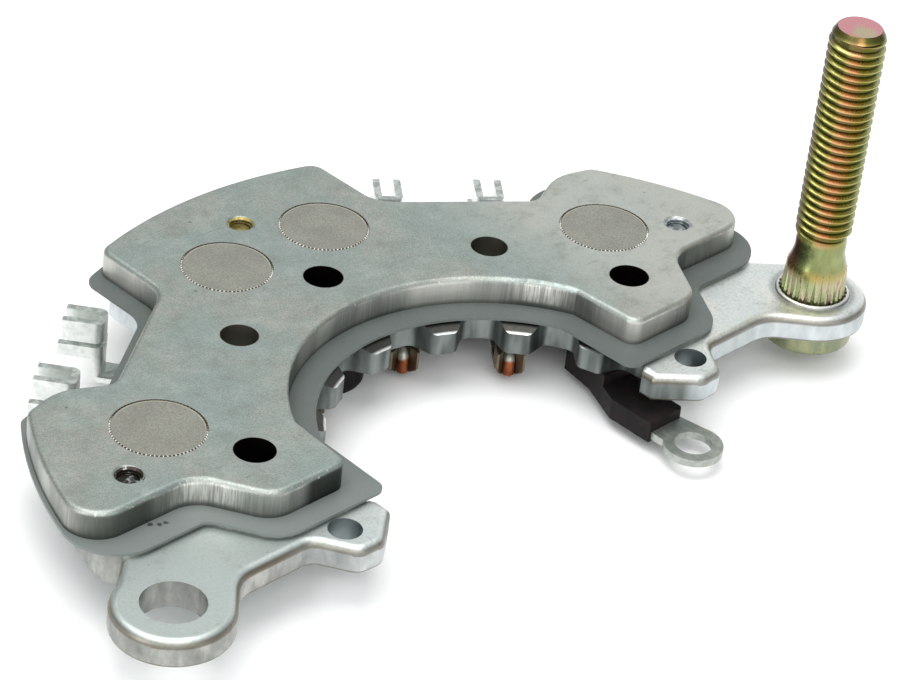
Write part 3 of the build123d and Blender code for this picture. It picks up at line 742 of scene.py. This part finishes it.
# Pieces that Geometry Nodes make
class Growth(Network):
    """A Geometry Nodes tree with named inputs, whose result becomes a plain mesh."""

    SOCKETS = {int: "NodeSocketInt", float: "NodeSocketFloat", tuple: "NodeSocketVector"}

    def __init__(self, name, **inputs):
        super().__init__(bpy.data.node_groups.new(name, "GeometryNodeTree"))
        face = self.tree.interface
        face.new_socket("Mesh", in_out="OUTPUT", socket_type="NodeSocketGeometry")
        painted = face.new_socket("material", in_out="INPUT", socket_type="NodeSocketMaterial")
        self.names = {"material": painted}
        for label, value in inputs.items():
            kind = self.SOCKETS[type(value)]
            self.names[label] = face.new_socket(label, in_out="INPUT", socket_type=kind)
            self.names[label].default_value = value
        entry = self.tree.nodes.new("NodeGroupInput")
        self.inputs = {label: Field(self, entry.outputs[label]) for label in self.names}

    def close(self, shape, place):
        """End the tree: the shape at its place, as one plain painted mesh."""
        moved = self.node("GeometryNodeTransform", Geometry=shape, Translation=place).outputs[0]
        whole = self.node("GeometryNodeRealizeInstances", Geometry=moved).outputs[0]
        painted = self.node("GeometryNodeSetMaterial", Geometry=whole, Material=self.inputs["material"])
        self.link(self.tree.nodes.new("NodeGroupOutput").inputs[0], painted.outputs[0])

    def grow(self, name, **values):
        """Object that holds the tree's result for these inputs."""
        piece = bpy.data.objects.new(name, bpy.data.meshes.new(name + "_seed"))
        bpy.context.scene.collection.objects.link(piece)
        modifier = piece.modifiers.new("growth", "NODES")
        modifier.node_group = self.tree
        for label, value in values.items():
            modifier[self.names[label].identifier] = value
        depsgraph = bpy.context.evaluated_depsgraph_get()
        mesh = bpy.data.meshes.new_from_object(piece.evaluated_get(depsgraph), depsgraph=depsgraph)
        piece.modifiers.remove(modifier)
        piece.data = mesh
        mesh.name = name
        return piece


def thread_growth():
    """Thread: a trapezoid on a helix, sunk into its core at both ends; side -1 points inwards."""
    g = Growth(
        "thread",
        place=(0.0, 0.0, 0.0),
        radius=0.0033,
        depth=0.0006,
        pitch=0.00125,
        width=0.0012,
        turns=4.0,
        run_out=0.05,
        side=1.0,
        steps=72,
    )
    i = g.inputs
    helix = g.node(
        "GeometryNodeCurveSpiral",
        Resolution=i["steps"],
        Rotations=i["turns"],
        Start_Radius=i["radius"],
        End_Radius=i["radius"],
        Height=i["turns"] * i["pitch"],
        Reverse=False,
    ).outputs[0]
    along = Field(g, g.node("GeometryNodeSplineParameter").outputs["Factor"])
    full = along.above(0.0, i["run_out"]) * along.below(1.0 - i["run_out"], 1.0)
    here = g.node("GeometryNodeInputPosition").outputs[0]
    outwards = g.vector("NORMALIZE", g.vector("MULTIPLY", here, (1, 1, 0)))
    sink = g.vector("SCALE", outwards, Scale=(full - 1.0) * i["depth"] * i["side"] * 1.1)
    helix = g.node("GeometryNodeSetPosition", Geometry=helix, Offset=sink).outputs[0]
    helix = g.node("GeometryNodeSetCurveNormal", {"mode": "Z_UP"}, Curve=helix).outputs[0]
    height = i["depth"] * 1.3
    ridge = g.node(
        "GeometryNodeCurvePrimitiveQuadrilateral",
        {"mode": "TRAPEZOID"},
        Height=height,
        Bottom_Width=i["width"],
        Top_Width=i["width"] * 0.16,
        Offset=0.0,
    ).outputs[0]
    ridge = g.node(
        "GeometryNodeTransform",
        Geometry=ridge,
        Rotation=g.join(0.0, 0.0, i["side"] * (pi / 2)),
        Translation=g.join(i["side"] * (height / 2 - i["depth"]), 0.0, 0.0),
    ).outputs[0]
    shape = g.node("GeometryNodeCurveToMesh", Curve=helix, Profile_Curve=ridge, Fill_Caps=True)
    g.close(shape.outputs[0], i["place"].socket)
    return g


def ridges_growth():
    """Upright tapered ridges in a ring, a little uneven."""
    g = Growth(
        "ridges",
        place=(0.0, 0.0, 0.0),
        count=28,
        radius=0.004,
        size=0.0004,
        size_top=0.0001,
        length=0.004,
        slimness=1.0,
        corner=0.0,
        unevenness=0.1,
        seed=3,
    )
    i = g.inputs
    ring = g.node("GeometryNodeMeshCircle", Vertices=i["count"], Radius=i["radius"]).outputs[0]
    ridge = g.node(
        "GeometryNodeMeshCone",
        Vertices=4,
        Side_Segments=1,
        Radius_Top=i["size_top"],
        Radius_Bottom=i["size"],
        Depth=i["length"],
    ).outputs["Mesh"]
    corner = g.join(0.0, 0.0, i["corner"])
    squared = g.node("GeometryNodeTransform", Geometry=ridge, Rotation=corner).outputs[0]
    slim = g.join(1.0, i["slimness"], 1.0)
    ridge = g.node("GeometryNodeTransform", Geometry=squared, Scale=slim).outputs[0]
    turn = Field(g, g.node("GeometryNodeInputIndex").outputs[0]) * (2 * pi) / i["count"]
    facing = g.node("FunctionNodeEulerToRotation", Euler=g.join(0.0, 0.0, turn)).outputs[0]
    random = g.node("FunctionNodeRandomValue", {"data_type": "FLOAT"}, Seed=i["seed"])
    g.link(random.inputs[2], 1.0 - i["unevenness"])
    g.link(random.inputs[3], 1.0)
    share = random.outputs[1]
    ridges = g.node(
        "GeometryNodeInstanceOnPoints",
        Points=ring,
        Instance=ridge,
        Rotation=facing,
        Scale=g.join(share, share, 1.0),
    ).outputs[0]
    g.close(ridges, i["place"].socket)
    return g


def turned(name, profile, centre, material, steps=112, closed=False, wave=0.0, waves=1):
    """Turned piece: (radius, height) points run round an upright axis; wave ripples the first two."""
    mesh = bpy.data.meshes.new(name)
    bm = bmesh.new()
    rings = []
    for place, (radius, height) in enumerate(profile):
        if radius == 0:
            rings.append([bm.verts.new(Vector((centre.x, centre.y, height)) * MM)])
            continue
        ring = []
        for step in range(steps):
            angle = 2 * pi * step / steps
            reach = radius + (wave * cos(waves * angle) if place < 2 else 0.0)
            x = centre.x + reach * cos(angle)
            y = centre.y + reach * sin(angle)
            ring.append(bm.verts.new(Vector((x, y, height)) * MM))
        rings.append(ring)
    if closed:
        rings.append(rings[0])
    for low, high in zip(rings, rings[1:]):
        for step in range(steps):
            after = (step + 1) % steps
            corners = [low[step % len(low)], low[after % len(low)]]
            corners += [high[after % len(high)], high[step % len(high)]]
            bm.faces.new(list(dict.fromkeys(corners)))
    bmesh.ops.recalc_face_normals(bm, faces=bm.faces)
    bm.to_mesh(mesh)
    bm.free()
    mesh.materials.append(material)
    piece = bpy.data.objects.new(name, mesh)
    bpy.context.scene.collection.objects.link(piece)
    return piece


def merged(name, pieces):
    """One piece from several that are joined face to face or sunk into each other."""
    mesh = bpy.data.meshes.new(name)
    bm = bmesh.new()
    for piece in pieces:
        bm.from_mesh(piece.data)
        bpy.data.objects.remove(piece)
    bm.to_mesh(mesh)
    bm.free()
    whole = bpy.data.objects.new(name, mesh)
    bpy.context.scene.collection.objects.link(whole)
    return whole


def smooth(piece, angle):
    """Shade a piece smooth, with its edges sharper than an angle in degrees kept."""
    piece.data.shade_smooth()
    piece.data.set_sharp_from_angle(angle=radians(angle))


def make_stud(threads, ridges, material):
    """Output stud with its thread, knurl and flared neck."""
    core = THREAD_RADIUS - THREAD_DEPTH
    flat = HEAD_RADIUS - HEAD_ROUND
    profile = [(0, STUD_BOTTOM), (flat, STUD_BOTTOM)]
    for step in range(1, HEAD_STEPS + 1):
        turn = pi / 2 * step / HEAD_STEPS
        profile.append((flat + HEAD_ROUND * sin(turn), STUD_BOTTOM + HEAD_ROUND * (1 - cos(turn))))
    profile += [(HEAD_RADIUS, EAR_BOTTOM), (FLARE_RADIUS, EAR_BOTTOM), (FLARE_RADIUS, EAR_TOP - 0.4)]
    profile.append((SHANK_RADIUS, EAR_TOP - 0.4))
    for step in range(FLARE_STEPS + 1):
        share = step / FLARE_STEPS
        height = FLARE_BOTTOM + (NECK_BOTTOM - FLARE_BOTTOM) * share
        radius = NECK_RADIUS + (FLARE_RADIUS - NECK_RADIUS) * (1 + cos(pi * share)) / 2
        profile.append((min(radius, SHANK_RADIUS + 0.06 * share), height))
    shoulder = STUD_TOP - TIP_HEIGHT
    profile += [(NECK_RADIUS, THREAD_START - 0.5), (core, THREAD_START + 0.3), (core, shoulder)]
    profile += [(SHOULDER_RADIUS, shoulder), (TIP_RADIUS + 0.12, STUD_TOP - 0.12)]
    profile += [(TIP_RADIUS, STUD_TOP), (0, STUD_TOP)]
    body = turned("stud_body", profile, STUD, material)
    smooth(body, 35)
    length = shoulder - THREAD_START + 0.3
    thread = threads.grow(
        "stud_thread",
        material=material,
        place=(STUD.x * MM, STUD.y * MM, (THREAD_START - 0.2) * MM),
        radius=core * MM,
        depth=THREAD_DEPTH * MM,
        pitch=THREAD_PITCH * MM,
        width=THREAD_PITCH * 0.94 * MM,
        turns=length / THREAD_PITCH,
        run_out=0.03,
        side=1.0,
        steps=96,
    )
    smooth(thread, 60)
    knurl = ridges.grow(
        "stud_knurl",
        material=material,
        place=(STUD.x * MM, STUD.y * MM, (EAR_TOP - 0.3) * MM),
        count=KNURL_RIDGES,
        radius=KNURL_CIRCLE * MM,
        size=KNURL_SIZE * MM,
        size_top=KNURL_TIP * MM,
        length=(KNURL_TOP - EAR_TOP + 0.3) * MM,
        slimness=1.05,
        unevenness=0.06,
    )
    stud = merged("output_stud_threaded", [body, thread, knurl])
    stud.data.materials.append(material)
    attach(stud, "root")
    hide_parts("output_stud")


def make_swage_ring(material):
    """Raised ring of the ear's metal, pressed up round the knurl."""
    ring = turned(
        "stud_swage_ring",
        [(radius, EAR_TOP + height) for radius, height in SWAGE],
        STUD,
        material,
        steps=8 * KNURL_RIDGES,
        closed=True,
        wave=SWAGE_WAVE,
        waves=KNURL_RIDGES,
    )
    smooth(ring, 50)
    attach(ring, "root")


def make_teeth(ridges, material):
    """Fine teeth round each diode, in the groove of its press fit."""
    for number, diode in enumerate(DIODES, 1):
        teeth = ridges.grow(
            f"negative_diode_{number}_teeth",
            material=material,
            place=(diode.x * MM, diode.y * MM, (PLATE_TOP + TEETH_PROUD - TEETH_LENGTH) * MM),
            count=TEETH,
            radius=TEETH_CIRCLE * MM,
            size=TEETH_SIZE * MM,
            size_top=TEETH_SIZE * 0.5 * MM,
            length=TEETH_LENGTH * MM,
            slimness=0.75,
            corner=pi / 4,
            unevenness=0.35,
            seed=number,
        )
        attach(teeth, "root")


def make_tapped_threads(threads, material):
    """Threads that show in the plate's tapped holes, over the screws' tips."""
    for number, screw in enumerate(SCREWS, 1):
        thread = threads.grow(
            f"tapped_thread_{number}",
            material=material,
            place=(screw.x * MM, screw.y * MM, (SCREW_TIP - TAP_DROP) * MM),
            radius=TAP_RADIUS * MM,
            depth=TAP_DEPTH * MM,
            pitch=TAP_PITCH * MM,
            width=TAP_WIDTH * MM,
            turns=TAP_TURNS,
            run_out=0.12,
            side=-1.0,
            steps=40,
        )
        smooth(thread, 50)
        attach(thread, "root")


make_camera()
make_floor()
make_studio()
finishes = finish_nodes()
thread_form = thread_growth()
ridge_form = ridges_growth()
make_stud(thread_form, ridge_form, finishes["yellow_zinc"])
make_swage_ring(finishes["cast_aluminium"])
teeth_glint_finish = bright_teeth()
make_teeth(ridge_form, teeth_glint_finish)
make_tapped_threads(thread_form, finishes["screw_zinc"])
